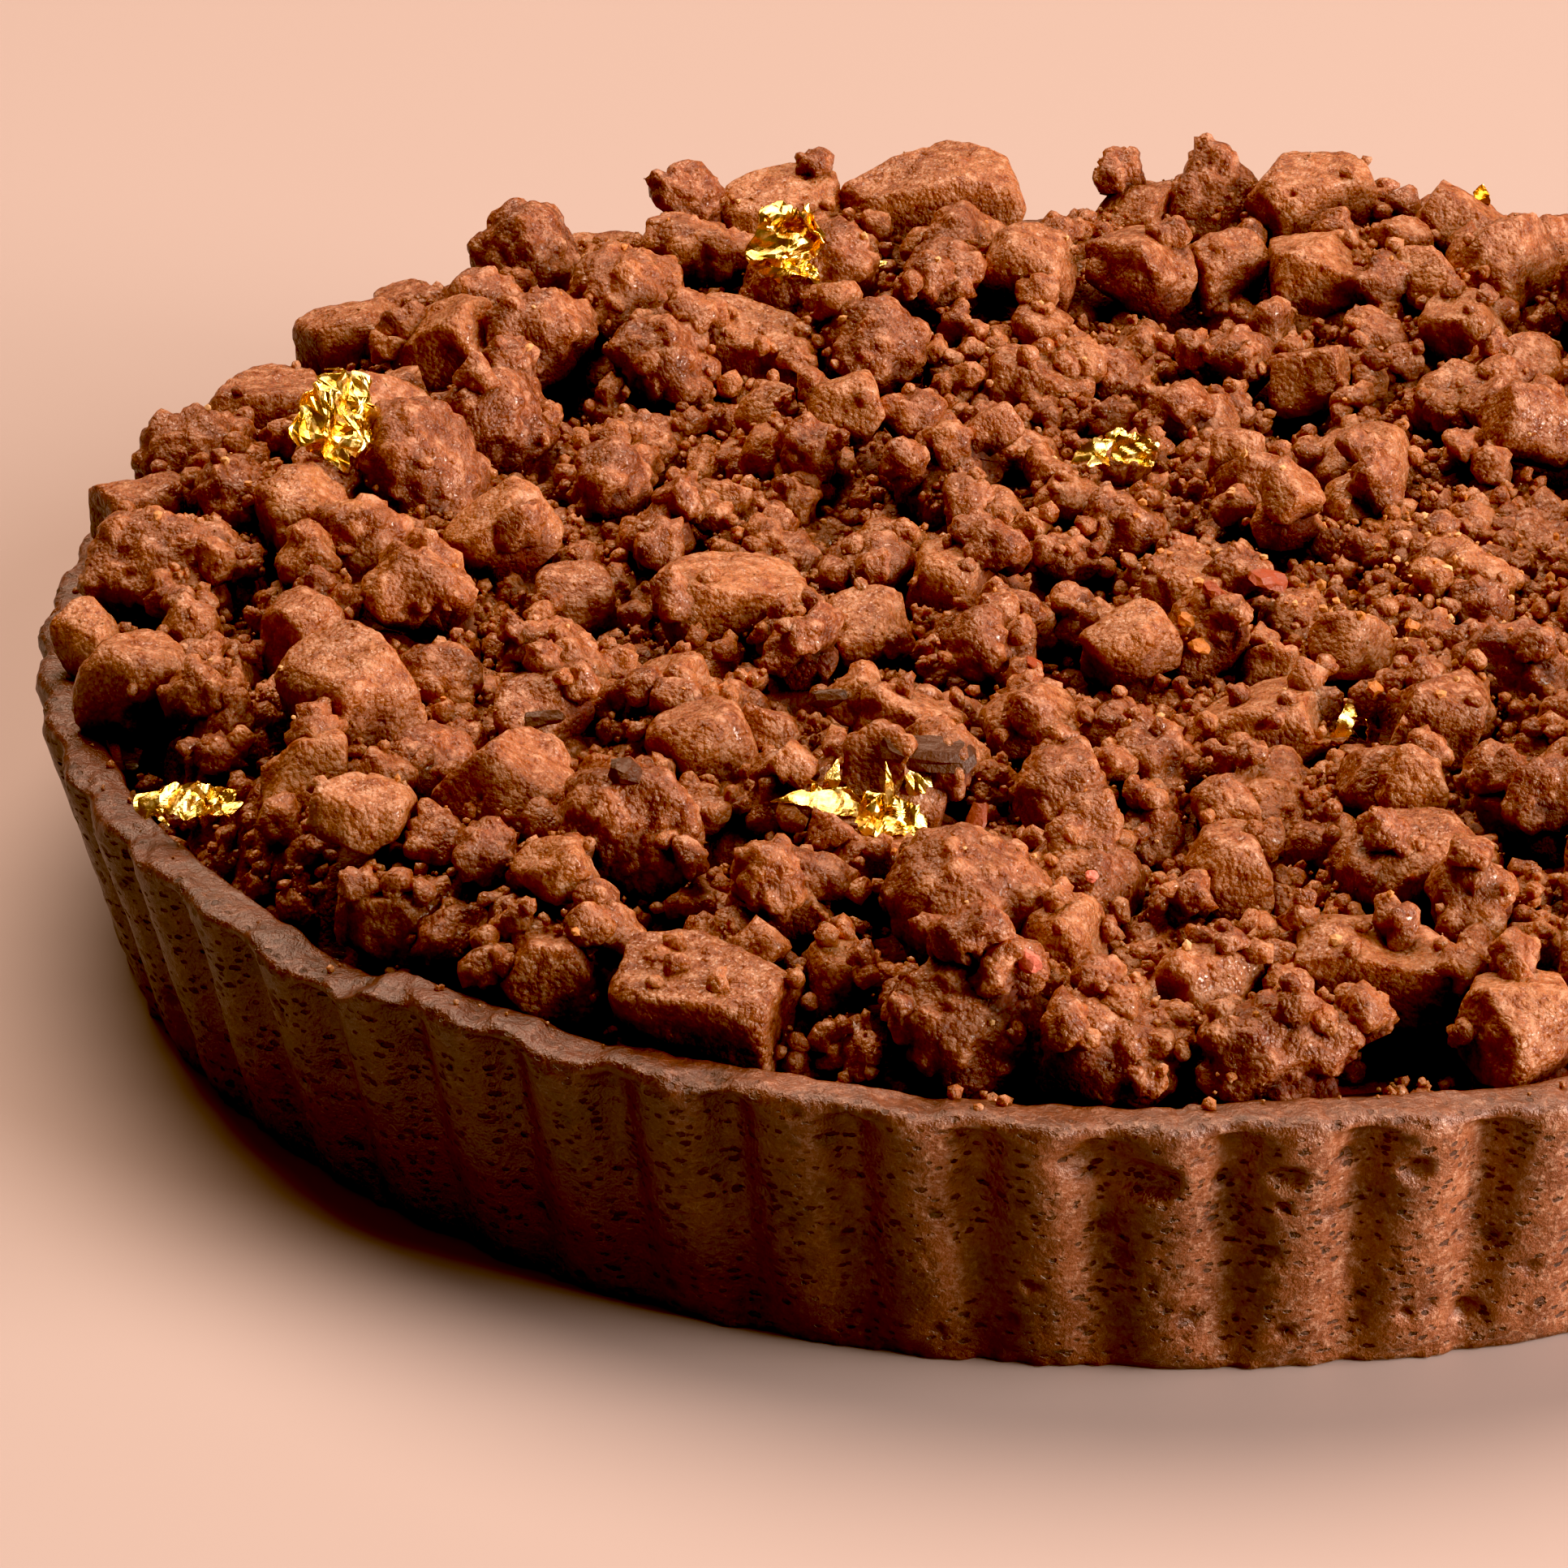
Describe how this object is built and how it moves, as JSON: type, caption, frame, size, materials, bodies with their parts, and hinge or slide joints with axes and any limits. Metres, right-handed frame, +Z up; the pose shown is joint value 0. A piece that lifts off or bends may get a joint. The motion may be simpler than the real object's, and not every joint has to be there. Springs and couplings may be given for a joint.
{
  "type": "chocolate tart",
  "caption": "Round fluted chocolate tart out of its tin, heaped with baked chocolate crumble over a dark filling and finished with small flakes of gold leaf.",
  "frame": {"origin": "middle of the underside", "axes": "+Z up; the side that faces -Y is the front"},
  "size_m": [0.2006, 0.2006, 0.0419],
  "materials": {
    "crust": "matte baked chocolate shortcrust pastry",
    "filling": "glossy dark chocolate cream",
    "crumble": "matte grainy baked chocolate crumble",
    "gold_leaf": "crumpled shiny gold leaf"
  },
  "bodies": {
    "root": {"crust": "crust", "filling": "filling", "crumble": "crumble", "gold_leaf_1": "gold_leaf", "gold_leaf_2": "gold_leaf", "gold_leaf_3": "gold_leaf", "gold_leaf_4": "gold_leaf", "gold_leaf_5": "gold_leaf", "gold_leaf_6": "gold_leaf", "gold_leaf_7": "gold_leaf", "gold_leaf_8": "gold_leaf", "gold_leaf_9": "gold_leaf"}
  },
  "joints": []
}
